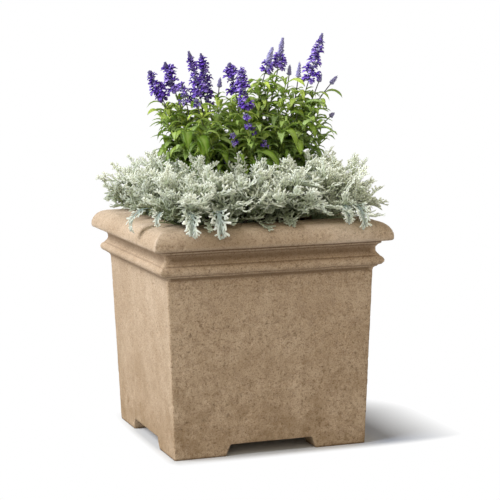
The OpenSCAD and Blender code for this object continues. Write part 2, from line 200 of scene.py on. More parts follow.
def stone_look():
    """Cast stone: mottled tan, darker in hollows with dirt and painted shade, darker near the ground with
    dirt and a painted contact shadow, paler on worn edges and, as a painted top light, on upward faces of
    the top, stained on the rim, partly as a painted leaf shadow, and with its marks painted fainter on
    the left side, which the key light falls on, as painted light."""
    k = Look("cast_stone")
    clouds = k.noise(6.0, 3.0, 0.6)
    patches = k.noise(40.0, 8.0, 0.77)
    grains = k.noise(330.0, 3.0, 0.75)
    specks = k.noise(190.0, 2.0, 0.6)
    pits = k.span(k.noise(120.0, 3.0, 0.75), 0.62, 0.69)
    height = k.add("ShaderNodeSeparateXYZ", Vector=k.place).outputs["Z"]
    lit_side = k.value("lit_side")
    # Marks are painted fainter on the left side, which the key light falls on: painted light
    strong = k.span(lit_side, 0.0, 1.0, 1.0, 0.48)
    least, most = k.span(lit_side, 0.0, 1.0, 0.05, 0.36), k.span(lit_side, 0.0, 1.0, 1.0, 0.84)
    dirt = k.times(k.span(height, 0.36, 0.0), k.span(k.noise(15.0, 6.0, 0.78), 0.42, 0.62, least, most))
    color = k.paint(
        k.mix(k.span(clouds, 0.38, 0.62), (0.432, 0.289, 0.157), (0.562, 0.402, 0.244)),
        # Dark and pale patches, then pale and dark grains, then specks
        (k.times(k.span(patches, 0.47, 0.63, 0.0, 0.9), strong), (0.322, 0.204, 0.108)),
        (k.span(patches, 0.42, 0.3, 0.0, 0.4), (0.635, 0.485, 0.336)),
        (k.span(grains, 0.36, 0.64, 0.0, 0.55), (0.607, 0.475, 0.336)),
        (k.span(grains, 0.5, 0.32, 0.0, 0.66), (0.262, 0.166, 0.087)),
        (k.times(k.span(specks, 0.58, 0.66, 0.0, 0.68), strong), (0.22, 0.14, 0.07)),
        # Dirt towards the ground, fainter on the lit side, and a painted contact shadow along the ground
        (k.times(dirt, k.span(lit_side, 0.0, 1.0, 0.8, 1.0)), (0.25, 0.155, 0.07)),
        (k.span(height, 0.0065, 0.001, 0.0, 0.62), EARTH_AND_SHADE),
        # Pits; stains, which also paint leaf shadow on the rim; dirt and painted shade in hollows,
        # fainter on the lit side; worn edges, and upward faces of the top painted paler as a painted top
        # light
        (k.times(k.times(pits, strong), 0.6), (0.19, 0.12, 0.065)),
        (k.share("damp_and_leaf_shadow", 0.45), (0.25, 0.162, 0.085)),
        (k.times(k.share("hollow_dirt_and_shade", 0.8, 0.05), k.span(lit_side, 0.0, 1.0, 1.0, 0.45)), EARTH_AND_SHADE),
        (k.share("wear_and_top_light", 0.42, 0.1), (0.78, 0.64, 0.48)),
    )
    holes = k.calc("ADD", pits, k.span(specks, 0.6, 0.68, 0.0, 0.4))
    fine = k.bump(k.calc("SUBTRACT", k.times(grains, 0.6), holes), 0.001, 0.8)
    rough = k.bump(patches, 0.004, 0.4, fine)
    return k.finish(color, Roughness=0.9, Specular_IOR_Level=0.2, Normal=rough)


def soil_look():
    k = Look("potting_mix")
    crumbs = k.noise(320.0, 4.0, 0.7)
    color = k.mix(k.span(crumbs, 0.4, 0.7), (0.022, 0.014, 0.009), (0.085, 0.055, 0.034))
    color = k.mix(k.share("tint", 1.0, 0.3), color, (0.19, 0.12, 0.07))
    return k.finish(color, Roughness=0.95, Specular_IOR_Level=0.2, Normal=k.bump(crumbs, 0.003))


def root_look():
    k = Look("root_mass")
    wave = {"Vector": k.place, "Scale": 90.0, "Distortion": 14.0, "Detail": 3.0}
    threads = k.add("ShaderNodeTexWave", {"bands_direction": "DIAGONAL"}, **wave).outputs["Fac"]
    color = k.mix(k.span(threads, 0.55, 0.9), (0.05, 0.032, 0.02), (0.36, 0.29, 0.2))
    return k.finish(color, Roughness=0.95, Specular_IOR_Level=0.2, Normal=k.bump(threads, 0.002))


def pebble_look():
    k = Look("pebbles")
    veins = k.noise(90.0, 4.0, 0.6)
    color = k.mix(k.value("tint"), (0.3, 0.27, 0.24), (0.52, 0.49, 0.45))
    color = k.mix(k.span(veins, 0.5, 0.75, 0.0, 0.5), color, (0.62, 0.58, 0.52))
    return k.finish(color, Roughness=0.7, Normal=k.bump(k.noise(600.0), 0.0006))


def cloth_look():
    k = Look("filter_cloth")
    fibres = k.noise(900.0, 3.0, 0.7)
    color = k.mix(k.span(fibres, 0.35, 0.65), (0.22, 0.22, 0.21), (0.42, 0.42, 0.4))
    return k.finish(color, Roughness=0.95, Sheen_Weight=0.3, Normal=k.bump(fibres, 0.0006))


def plastic_look():
    k = Look("screen_plastic")
    grain = k.noise(700.0, 2.0)
    color = k.mix(k.span(grain, 0.3, 0.7), (0.035, 0.035, 0.036), (0.065, 0.065, 0.067))
    return k.finish(color, Roughness=k.span(grain, 0.3, 0.7, 0.45, 0.6), Normal=k.bump(grain, 0.0002))


def silver_look():
    """Felted leaves: nearly white on the lobes, grey-green on broad blades, olive towards the stem and
    low down, darker deep in the mound, where shade is painted, and blue-grey along the middle of a
    hanging leaf."""
    k = Look("silver_foliage")
    felt = k.noise(900.0, 2.0, 0.6)
    color = k.paint(
        k.mix(k.value("tint"), (0.51, 0.59, 0.41), (0.95, 0.98, 0.82)),
        (k.share("edge", 0.95), (1.0, 1.0, 0.89)),
        (k.share("under", 0.3), (0.78, 0.84, 0.74)),
        (k.share("shade", 0.88), (0.26, 0.32, 0.085)),
        (k.share("vein", 0.78), (0.3, 0.395, 0.355)),
        (k.span(felt, 0.4, 0.7, 0.0, 0.12), (0.95, 0.96, 0.92)),
    )
    relief = k.bump(felt, 0.0004, 0.6)
    k.let_through(color, 0.51, relief)
    sheen = {"Sheen_Weight": 0.25, "Sheen_Roughness": 0.6}
    return k.finish(color, Roughness=0.92, Specular_IOR_Level=0.2, Normal=relief, **sheen)


def green_look():
    """Sage leaves, each its own green, with pale veins and undersides, and on some leaves a pale grey
    that is partly their bloom and partly a painted sheen. Light comes through them. Stems go from green
    to purple towards the flowers."""
    k = Look("green_foliage")
    mottle = k.noise(60.0, 3.0)
    color = k.paint(
        k.mix(k.value("tint"), (0.075, 0.165, 0.001), (0.76, 0.86, 0.15)),
        (k.span(mottle, 0.35, 0.7, 0.0, 0.2), (0.36, 0.5, 0.06)),
        (k.share("vein", 0.5, 0.25), (0.5, 0.6, 0.16)),
        # Pale undersides, and on some leaves a grey that is partly bloom and partly a painted sheen
        (k.share("under", 0.75), (0.5, 0.64, 0.28)),
        (k.share("stalk", 0.85), (0.23, 0.31, 0.08)),
        (k.value("purple"), (0.065, 0.035, 0.095)),
    )
    relief = k.bump(k.value("vein"), 0.0008, 0.5, k.bump(k.noise(500.0), 0.0003, 0.4))
    k.let_through(k.mix(0.5, color, (0.62, 0.82, 0.02)), 0.34, relief)
    return k.finish(color, Roughness=0.34, Specular_IOR_Level=0.22, Normal=relief)


def petal_look():
    """Violet corollas, darkest in the throat, where shade is painted, and lighter towards the rim of the
    lips, partly their own colour and partly a painted highlight.
    """
    k = Look("petals")
    mottle = k.noise(300.0, 2.0)
    deep = k.mix(k.value("tint"), (0.022, 0.003, 0.12), (0.085, 0.02, 0.38))
    light = k.mix(k.value("tint"), (0.22, 0.085, 0.68), (0.74, 0.57, 1.0))
    color = k.mix(k.value("edge"), deep, light)
    color = k.mix(k.span(mottle, 0.4, 0.7, 0.0, 0.25), color, (0.13, 0.035, 0.48))
    return k.finish(color, Roughness=0.6, Specular_IOR_Level=0.15, Normal=k.bump(mottle, 0.0003, 0.5))


def calyx_look():
    """Felted calyces and buds: dark violet below, pale grey-lavender at the tips of the buds."""
    k = Look("calyx")
    felt = k.noise(800.0, 2.0)
    color = k.paint(
        k.mix(k.value("tint"), (0.034, 0.008, 0.12), (0.43, 0.4, 0.62)),
        (k.share("edge", 0.6), (0.58, 0.54, 0.74)),
        (k.span(felt, 0.4, 0.7, 0.0, 0.1), (0.42, 0.38, 0.62)),
    )
    relief = k.bump(felt, 0.0003, 0.6)
    return k.finish(color, Roughness=0.85, Specular_IOR_Level=0.15, Sheen_Weight=0.15, Normal=relief)


def stem_look():
    k = Look("purple_stem")
    streaks = k.noise(260.0, 2.0)
    color = k.mix(k.span(streaks, 0.35, 0.65), (0.045, 0.025, 0.085), (0.12, 0.085, 0.16))
    return k.finish(color, Roughness=0.6, Normal=k.bump(streaks, 0.0003))


# Light and floor


WHITE = (1.0, 1.0, 1.0, 1.0)
# The even light from all round
FILL_LEVEL, FILL_COLOR = 0.31, (1.0, 0.945, 0.87, 1.0)
# Soft far lights: name, direction, how bright a white surface that faces it gets, degrees across, colour
SUNS = [
    ("key", (-0.765, 0.01, 0.645), 1.235, 44, (0.925, 1.0, 1.165)),
    ("front_fill", (-0.3, -0.91, 0.27), 0.3, 60, (1.0, 0.955, 0.885)),
    ("back_fill", (0.8, 0.58, 0.12), 0.3, 60, (0.98, 0.98, 0.98)),
]
# The core of the floor that shows its shadows: along x and along y, its middle, half its width, and how
# many times faster it ends on the low side
SHADOW_CORE = [(0.0, FOOT_A, 9.0), (-0.1, 0.14, 5.0)]
# Distances from the core at which the shadows begin to fade and are gone
FADE_FROM, FADE_TO = 0.085, 0.275
# The floor's colours near the planter and, to the right of it, a darker paint in the key light's shadow,
# which deepens that shadow as painted shade
NEAR_COLOR, RIGHT_COLOR = (0.66, 0.64, 0.585), (0.5, 0.525, 0.565)
RIGHT_FROM, RIGHT_TO = 0.2, 0.3
# The floor as the planter sees it
DULL = (0.45, 0.45, 0.45, 1.0)
FLOOR_HALF = 30.0


def shown_white(k, lit, white):
    """Shows white in place of lit to rays that come from the camera or off a mirror or through glass."""
    path = k.add("ShaderNodeLightPath").outputs
    seen = k.calc("MAXIMUM", path["Is Camera Ray"], path["Is Glossy Ray"])
    return k.blend(k.calc("MAXIMUM", seen, path["Is Transmission Ray"]), lit, white)


def make_light():
    world = bpy.data.worlds.new("studio")
    world.use_nodes = True
    world.node_tree.nodes.clear()
    k = Nodes(world.node_tree)
    fill = k.add("ShaderNodeBackground", Color=FILL_COLOR, Strength=FILL_LEVEL).outputs[0]
    white = k.add("ShaderNodeBackground", Color=WHITE, Strength=1.0).outputs[0]
    k.add("ShaderNodeOutputWorld", Surface=shown_white(k, fill, white))
    bpy.context.scene.world = world
    for name, toward, bright, angle, color in SUNS:
        data = bpy.data.lights.new(name, "SUN")
        data.energy = math.pi * bright
        data.angle = math.radians(angle)
        data.color = color
        light = link(bpy.data.objects.new(name, data))
        light.rotation_euler = Vector(toward).to_track_quat("Z", "Y").to_euler()
    bpy.context.scene.view_settings.view_transform = "Standard"


def floor_look():
    """White away from the planter, and painted near it, where it shows the planter's shadow."""
    k = Look("floor")
    k.tree.nodes.remove(k.shader)
    apart = k.add("ShaderNodeSeparateXYZ", Vector=k.place).outputs
    squares = []
    for axis, (middle, half, gain) in enumerate(SHADOW_CORE):
        offset = k.calc("SUBTRACT", apart[axis], middle)
        above = k.calc("MAXIMUM", k.calc("SUBTRACT", offset, half), 0.0)
        below = k.calc("MAXIMUM", k.calc("SUBTRACT", k.times(offset, -1.0), half), 0.0)
        squares.append(k.calc("POWER", k.calc("ADD", above, k.times(below, gain)), 2.0))
    away = k.calc("SQRT", k.calc("ADD", *squares))
    pale = k.mix(k.span(apart[0], RIGHT_FROM, RIGHT_TO), NEAR_COLOR, RIGHT_COLOR)
    near = k.add("ShaderNodeBsdfDiffuse", Color=pale).outputs[0]
    shine = k.add("ShaderNodeEmission").outputs[0]
    dull = k.add("ShaderNodeBsdfDiffuse", Color=DULL).outputs[0]
    shown = k.blend(k.span(away, FADE_FROM, FADE_TO), near, shine)
    k.put(k.surface, shown_white(k, dull, shown))
    return k.material


def make_floor():
    h = FLOOR_HALF
    mesh = bpy.data.meshes.new("floor")
    mesh.from_pydata([(-h, -h, 0), (h, -h, 0), (h, h, 0), (-h, h, 0)], [], [(0, 1, 2, 3)])
    mesh.materials.append(floor_look())
    link(bpy.data.objects.new("floor", mesh))


# Meshes


def unit(vectors):
    return vectors / np.linalg.norm(vectors, axis=-1, keepdims=True)


def level(values):
    """Cuts values off at 0 and 1."""
    return np.clip(values, 0, 1)


def ramp(values, start, length):
    """From 0 at start to 1 a length further on, and level beyond both."""
    return level((values - start) / length)


def hold(mesh, name, values):
    """Gives the mesh a value at each of its points, for its material."""
    mesh.attributes.new(name, "FLOAT", "POINT").data.foreach_set("value", values.astype(np.float32))


def make_piece(name, mesh, materials, nodes):
    """Makes a smooth piece of the mesh. It rides on the root and stands for the CAD nodes."""
    mesh.polygons.foreach_set("use_smooth", np.ones(len(mesh.polygons), dtype=bool))
    mesh.materials.clear()
    for material in materials:
        mesh.materials.append(material)
    mesh.name = name
    piece = link(bpy.data.objects.new(name, mesh))
    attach(piece, "root")
    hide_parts(*nodes)
    return piece


class Shape:
    """Collects points, faces and values at the points, and makes one piece of them."""

    NAMES = ("tint", "edge", "under", "shade", "vein", "stalk", "purple")

    def __init__(self):
        self.points, self.faces, self.slots, self.count = [], [], [], 0
        self.values = {name: [] for name in self.NAMES}

    def add(self, points, faces, slot=0, **values):
        n = len(points)
        self.points.append(points)
        self.faces.extend([[i + self.count for i in face] for face in faces])
        self.slots.extend([slot] * len(faces))
        for name in self.NAMES:
            data = np.asarray(values.get(name, 0.0), dtype=np.float32)
            self.values[name].append(np.broadcast_to(data, (n,)))
        self.count += n

    def piece(self, name, materials, node, slot):
        mesh = bpy.data.meshes.new(name)
        mesh.from_pydata(np.concatenate(self.points), [], self.faces)
        for key, parts in self.values.items():
            data = np.concatenate(parts)
            if data.any():
                hold(mesh, key, data)
        piece = make_piece(name, mesh, materials, [node])
        mesh.polygons.foreach_set("material_index", np.array(self.slots, dtype=np.int32))
        mesh.update()
        return piece


class Grain:
    """Smooth noise from -1 to 1 over space."""

    CELLS = 32

    def __init__(self, seed):
        self.table = np.random.default_rng(seed).uniform(-1, 1, (self.CELLS,) * 3)

    def __call__(self, points, size):
        at = np.asarray(points) / size
        cell = np.floor(at).astype(int)
        part = at - cell
        part = part * part * (3 - 2 * part)
        total = np.zeros(len(at))
        for corner in np.ndindex(2, 2, 2):
            weight = np.prod(np.where(corner, part, 1 - part), axis=1)
            index = (cell + corner) % self.CELLS
            total += weight * self.table[index[:, 0], index[:, 1], index[:, 2]]
        return total


def rod(path, widths, thicks, up=(0.0, 0.0, 1.0), sides=6, tip=0.5):
    """A closed rod along a path: points, faces and how near each point is to the section's edge."""
    path = np.asarray(path, dtype=float)
    n = len(path)
    widths, thicks = np.broadcast_to(widths, n), np.broadcast_to(thicks, n)
    ahead = unit(np.gradient(path, axis=0))
    across = unit(np.cross(up, ahead))
    over = np.cross(ahead, across)
    turns = 2 * math.pi * np.arange(sides) / sides
    points = (
        path[:, None, :]
        + across[:, None, :] * (widths[:, None] / 2 * np.cos(turns))[:, :, None]
        + over[:, None, :] * (thicks[:, None] / 2 * np.sin(turns))[:, :, None]
    ).reshape(-1, 3)
    ends = np.array([path[0], path[-1] + ahead[-1] * widths[-1] * tip])
    faces = []
    for i, j in np.ndindex(n - 1, sides):
        a, b = i * sides + j, i * sides + (j + 1) % sides
        faces.append([a, b, b + sides, a + sides])
    last = (n - 1) * sides
    for j in range(sides):
        faces.append([(j + 1) % sides, j, n * sides])
        faces.append([last + j, last + (j + 1) % sides, n * sides + 1])
    edge = np.concatenate([np.tile(np.abs(np.cos(turns)) ** 2, n), [0.0, 1.0]])
    return np.concatenate([points, ends]), faces, edge


def merged(parts):
    """Joins the results of several rods."""
    points, faces, edges, count = [], [], [], 0
    for p, f, e in parts:
        points.append(p)
        faces += [[i + count for i in face] for face in f]
        edges.append(e)
        count += len(p)
    return np.concatenate(points), faces, np.concatenate(edges)


def lobed_leaf(seed, pairs, reach, width, body, fingers=(-1, 1)):
    """A flat, deeply cut leaf, one unit long, with pairs of blunt lobes of one width that end in
    fingers. body is how much broader the blade is than a lobe."""
    rng = np.random.default_rng(seed)
    thick = 0.015
    rib = np.linspace(0, 0.94, 8)
    blade = width * (0.6 + body * np.array([0.0, 0.05, 0.3, 0.8, 1.0, 0.9, 0.7, 0.3]))
    parts = [rod(np.stack([rib, 0.012 * np.sin(5 * rib), 0 * rib], axis=1), blade, thick * 1.2)]

    def lobe(path, widths):
        parts.append(rod(path, widths, thick, sides=4, tip=0.35))

    def finger(at, turn, length, wide, lift):
        end = at + length * np.array([math.cos(turn), math.sin(turn), lift])
        lobe([at, (at + end) / 2, end], wide * np.array([0.75, 0.95, 0.85]))

    for k in range(pairs):
        t = k / (pairs - 1)
        for side in (-1, 1):
            u = 0.24 + 0.6 * t + rng.uniform(-0.015, 0.015) + 0.025 * side
            length = reach * math.sin(math.pi * (0.28 + 0.5 * t)) ** 0.8 * rng.uniform(0.85, 1.12)
            angle = math.radians(60 - 30 * t + rng.uniform(-7, 7)) - np.array([0, 0.12, 0.3, 0.5])
            lift = rng.uniform(-0.15, 0.5) * np.array([0, 0.3, 0.7, 1.0])
            steps = np.stack([np.cos(angle), side * np.sin(angle), lift], axis=1)[1:] * length / 3
            path = np.array([u, 0, 0]) + np.concatenate([[[0, 0, 0]], np.cumsum(steps, axis=0)])
            wide = width * rng.uniform(0.85, 1.15)
            lobe(path, wide * np.array([0.8, 0.9, 1.0, 0.9]))
            for way in fingers:
                at = path[2] + (path[3] - path[2]) * rng.uniform(-0.6, 0.2)
                turn = side * angle[2] + way * math.radians(rng.uniform(36, 56))
                finger(at, turn, 0.42 * length * rng.uniform(0.8, 1.2), wide, rng.uniform(-0.1, 0.5))
    for way in (-1, 1):
        finger(np.array([0.84, 0, 0]), way * math.radians(34), 0.14, width, 0.1)
    return merged(parts)


def lance_leaf(seed, rows, columns):
    """A flat, lance-shaped leaf of unit length and width, with a wavy margin and a folded midrib. Also
    returns which points are on the underside and how near each is to a vein."""
    rng = np.random.default_rng(seed)
    stalk, widest, wave = 0.07, rng.uniform(0.72, 0.92), rng.uniform(0, 2 * math.pi)
    thick, fold, groove = 0.012, 0.28, 0.03
    points, index, under, vein = [], {}, [], []
    for i, u in enumerate(np.linspace(0, 1, rows)):
        blade = max(0.0, (u - stalk) / (1 - stalk))
        half = max(0.035 * (1 - u), 0.5 * math.sin(math.pi * blade**widest) ** 1.1)
        for j, v in enumerate(np.linspace(-1, 1, columns)):
            shared = abs(v) == 1 or i in (0, rows - 1)
            ripple = 0.03 * math.sin(15 * u + wave + 2 * np.sign(v)) * v**2
            height = fold * abs(v) * half + ripple
            for below in (0, 1):
                if shared and below:
                    index[i, j, 1] = index[i, j, 0]
                    continue
                index[i, j, below] = len(points)
                skin = (0 if shared else thick) * (-1 if below else 1)
                points.append([u, v * half, height + skin - groove * (v == 0) * (half > 0.1)])
                under.append(float(below))
                vein.append(1.0 if v == 0 else 0.35 * (i % 2) * (abs(v) < 0.9))
    faces = []
    for i, j, below in np.ndindex(rows - 1, columns - 1, 2):
        corners = ((i, j), (i + 1, j), (i + 1, j + 1), (i, j + 1))
        quad = [index[row, column, below] for row, column in corners]
        kept = [a for n, a in enumerate(quad) if a not in quad[:n]]
        if len(kept) > 2:
            faces.append(kept[::-1] if below else kept)
    return np.array(points), faces, np.array(under), np.array(vein)


def bent(points, foot, length, width, rise, droop, heading, swing=0.0, roll=0.0, cup=0.0, power=1.3):
    """Lays a flat unit leaf along an arching midrib. Angles are in radians, and droop bends it down."""

    def direction(up, way):
        return np.stack([np.cos(up) * np.cos(way), np.cos(up) * np.sin(way), np.sin(up)], axis=1)

    s = np.linspace(0, 1, 25)
    up = rise - droop * s**power
    way = heading + swing * s
    ahead = direction(up, way)
    middles = np.cumsum((ahead[1:] + ahead[:-1]) / 2, axis=0)
    line = np.concatenate([[[0, 0, 0]], middles]) * length / (len(s) - 1)
    u = level(points[:, 0])
    at = np.stack([np.interp(u, s, line[:, i]) for i in range(3)], axis=1)
    up, way = np.interp(u, s, up), np.interp(u, s, way)
    side = np.stack([-np.sin(way), np.cos(way), np.zeros_like(up)], axis=1)
    over = np.stack([-np.sin(up) * np.cos(way), -np.sin(up) * np.sin(way), np.cos(up)], axis=1)
    cos, sin = np.cos(roll * u)[:, None], np.sin(roll * u)[:, None]
    side, over = cos * side + sin * over, cos * over - sin * side
    across = points[:, 1] * width
    out = points[:, 2] * width + cup * np.abs(across) ** 1.5 / math.sqrt(width)
    extra = (points[:, 0] - u) * length
    bent_line = np.asarray(foot) + at + side * across[:, None]
    return bent_line + over * out[:, None] + direction(up, way) * extra[:, None]


# Stone


VOXEL, QUICK_VOXEL = 0.0024, 0.004
STONE_TRIANGLES = 190000
# How far round a point hollows are looked for, and how deep they are where they count in full
WIDE_HOLLOW, NARROW_HOLLOW = 0.009, 0.0045
WIDE_DEEP, NARROW_DEEP = 0.006, 0.0004
WORN_EDGE = 0.001
DEEPEST_PIT = 0.0016
# Heights from which edges are worn more, upward faces are painted paler as a painted top light, and the
# rim takes stains
WORN_FROM, TOP_FROM, RIM_FROM = 0.42, 0.51, 0.497
# The stains of this seed are darkest towards the left of the front, where they also paint the shadow of
# the hanging leaves on the rim
STAIN_SEED = 542


def modified(mesh, kind, **settings):
    """The mesh after one modifier."""
    holder = link(bpy.data.objects.new("holder", mesh))
    modifier = holder.modifiers.new("step", kind)
    for key, value in settings.items():
        setattr(modifier, key, value)
    result = bpy.data.meshes.new_from_object(holder.evaluated_get(bpy.context.evaluated_depsgraph_get()))
    bpy.data.objects.remove(holder)
    return result


def copied(node, voxel):
    """The mesh of a CAD node as an even grid of small faces, with its points and normals."""
    mesh = modified(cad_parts[node].data.copy(), "REMESH", mode="VOXEL", voxel_size=voxel)
    points, normals = np.empty((2, len(mesh.vertices), 3))
    mesh.vertices.foreach_get("co", points.ravel())
    mesh.vertices.foreach_get("normal", normals.ravel())
    return mesh, points, normals


def hollowness(mesh, points, normals, rounds):
    """How deep each point lies in a hollow, in metres. It is below zero on an outer edge."""
    ends = np.empty(len(mesh.edges) * 2, dtype=np.int32)
    mesh.edges.foreach_get("vertices", ends)
    a, b = ends.reshape(-1, 2).T
    n = len(points)
    joined = np.bincount(a, minlength=n) + np.bincount(b, minlength=n)
    middle = points.copy()
    for _ in range(rounds):
        for i in range(3):
            column = middle[:, i]
            middle[:, i] = (np.bincount(a, column[b], n) + np.bincount(b, column[a], n)) / joined
    return ((middle - points) * normals).sum(axis=1)


def stone_planter():
    """The casting with a gently uneven skin and small pits. Its left side is the one that the key light
    falls on, where its marks are painted fainter, a painted light.
    """
    voxel = VOXEL
    mesh, points, normals = copied("planter_shell", voxel)
    height = points[:, 2]
    hollow = hollowness(mesh, points, normals, round((WIDE_HOLLOW / voxel) ** 2))
    fine = hollowness(mesh, points, normals, round((NARROW_HOLLOW / voxel) ** 2))
    waves, lumps, holes = Grain(11), Grain(12), Grain(13)
    bulge = 0.00055 * waves(points, 0.045) + 0.00028 * lumps(points, 0.013)
    pit = level(holes(points, 0.0075) - 0.52) * 0.0045
    big = level(lumps(points + 3.0, 0.021) - 0.7) * 0.006
    moved = points + normals * (bulge - np.minimum(pit + big, DEEPEST_PIT))[:, None]
    moved[:, 2] = np.maximum(moved[:, 2], 0.0)
    moved[height < 0.0015, 2] = 0.0
    mesh.vertices.foreach_set("co", moved.ravel())

    # The left side, which the key light falls on, where the material paints marks fainter: painted light
    lit_side = level(-1.3 * normals[:, 0] - 0.1)
    stain = Grain(STAIN_SEED)(points * [1, 1, 0.4], 0.1) + 0.3 * waves(points, 0.022)
    rim = ramp(height, RIM_FROM, 0.008) * (1 - lit_side)
    worn = 0.1 + 0.5 * ramp(height, WORN_FROM, 0.08)
    # Upward faces of the top are painted paler: a painted top light
    top = level(normals[:, 2]) * (height > TOP_FROM)
    wear_and_top_light = level(-fine / WORN_EDGE) * worn + top * 0.4
    values = {
        # Dirt and painted shade in hollows, wide and narrow
        "hollow_dirt_and_shade": np.clip(hollow / WIDE_DEEP, 0, 0.4) + np.clip(fine / NARROW_DEEP, 0, 0.8),
        "wear_and_top_light": wear_and_top_light + rim * 0.7 * level(-stain),
        "lit_side": lit_side,
        # Stains on the rim, which at its front left also paint the hanging leaves' shadow
        "damp_and_leaf_shadow": rim * level(stain) * level((0.566 - height) / 0.03),
    }
    for name, data in values.items():
        hold(mesh, name, level(data))
    mesh = modified(mesh, "DECIMATE", ratio=STONE_TRIANGLES / (2 * len(mesh.polygons)))
    make_piece("stone_planter", mesh, [stone_look()], ["planter_shell"])


# Dusty miller


# The rim's outline, as half widths at these heights
RIM_Z = [0.5, 0.512, 0.53, 0.543, 0.551, 0.5555]
RIM_A = [0.3, 0.3005, 0.2965, 0.2865, 0.276, 0.25]
# Tufts of a plant: how far out, how far aside and how high over the soil they stand
TUFTS = [
    (0.092, -0.046, 0.042), (0.097, 0.002, 0.05), (0.09, 0.048, 0.044), (0.064, -0.042, 0.074),
    (0.06, 0.034, 0.082), (0.034, -0.052, 0.1), (0.03, 0.044, 0.106), (0.002, 0.004, 0.12),
    (0.052, -0.028, 0.04), (0.046, 0.04, 0.036), (0.008, -0.01, 0.058), (0.078, -0.008, 0.088),
]
# Some more tufts, with smaller leaves, that fill the mound out on its right side
SIDE_TUFTS = {
    3: [(0.095, 0.065, 0.085), (0.07, 0.085, 0.108)],
    4: [(0.11, -0.035, 0.1), (0.105, 0.045, 0.106)],
}
SIDE_SIZE = 0.78
CORNER_GAIN = 1.15
LEAVES_A_TUFT = 7
# Leaves that spread from the foot of a plant over the inner edge of the rim
SKIRT = 10
# Leaves that hang over the rim: plant, place of the foot, heading in degrees and length
HANGING = [
    (0, -0.2, -0.258, -97, 0.09), (1, -0.142, -0.258, -92, 0.096), (0, -0.262, -0.24, -120, 0.05),
    (3, 0.184, -0.258, -104, 0.07), (3, 0.204, -0.258, -82, 0.088), (3, 0.258, -0.15, -10, 0.06),
    (4, 0.258, 0.02, 6, 0.085), (5, 0.258, 0.19, 10, 0.08), (6, 0.09, 0.258, 84, 0.088),
    (7, -0.06, 0.258, 97, 0.08), (8, -0.19, 0.258, 92, 0.088), (9, -0.262, -0.146, 202, 0.088),
]
HANGING_Z = 0.594
# On the left, leaves keep above this height at each x, so that the rim stays bare there
BARE_X = [-0.34, -0.322, -0.31, -0.285, -0.284]
BARE_Z = [0.9, 0.66, 0.625, 0.608, 0.0]
# Height of the silver mound at each distance from the middle of the planter, and where its side is
MOUND_A = [0.08, 0.15, 0.2, 0.25, 0.3, 0.34]
MOUND_Z = [0.715, 0.725, 0.705, 0.67, 0.645, 0.61]
MOUND_SIDE = 0.31
# Leaves get darker below this height, and to the right of this x less painted shade is laid on the mound,
# a painted light on that side
LOW_Z, LESS_SHADE_X = 0.612, 0.1
# Share of a leaf's points that may be in the rim or the soil
MOST_BURIED = 0.02
LIFTS = 9


def buried(points):
    """Share of the points that lie in the rim or in the soil."""
    reach = np.abs(points[:, :2]).max(axis=1)
    height = points[:, 2]
    rim = (reach > MOUTH_A) & (reach < np.interp(height, RIM_Z, RIM_A)) & (height < RIM_TOP_Z)
    soil = (reach <= MOUTH_A) & (height < SOIL_Z + 0.004)
    return (rim | soil).mean()


def silver_leaf(shape, rng, leaf, at, length, rise, droop, heading, young):
    """Adds one lobed leaf, lifted until it clears the rim and the soil. young is 0 for the lowest of a
    tuft and 1 for a leaf that hangs over the rim."""
    flat, faces, edge = leaf
    hangs = young == 1
    twist = 0.35 if hangs else 0.9
    forms = [rng.uniform(-0.5, 0.5), rng.uniform(-twist, twist), rng.uniform(-0.2, 0.9)]
    for lift in range(LIFTS):
        steeper, less = rise + math.radians(9 * lift), droop * (1 - 0.08 * lift)
        points = bent(flat, at, length, length, steeper, less, heading, *forms)
        if buried(points) < MOST_BURIED:
            break
    else:
        return
    x, height = points[:, 0], points[:, 2]
    if not hangs and (height < np.interp(x, BARE_X, BARE_Z)).any():
        return
    along, aside = flat[:, 0], np.abs(flat[:, 1])
    inner = level(1.15 - 1.3 * along - 3.2 * aside)
    ends = level((2.4 * aside + 0.5 * along - 0.28) / 0.45)
    values = {"edge": np.maximum(ends, edge * (1 - 0.5 * inner)), "under": flat[:, 2] < -0.004}
    reach = np.abs(points[:, :2]).max(axis=1)
    # Painted shade: darker the deeper a point lies inside the mound
    depth = np.minimum(np.interp(reach, MOUND_A, MOUND_Z) - height, MOUND_SIDE - reach)
    low = level((LOW_Z - height) / 0.035)
    shade = 0.5 * ramp(depth, 0.015, 0.055) + 0.36 * low + inner * rng.uniform(0.25, 0.8)
    if hangs:
        values["vein"] = level(1.5 - 1.1 * along - 6.0 * aside)
    else:
        # Less painted shade to the right, a painted light on that side of the mound
        values["shade"] = level(shade) * (1 - 0.55 * ramp(x, LESS_SHADE_X, 0.12))
    tint = (0.25 if hangs else 0.8 + 0.35 * young) + rng.uniform(-0.4, 0.25)
    shape.add(points, faces, tint=level(tint), **values)


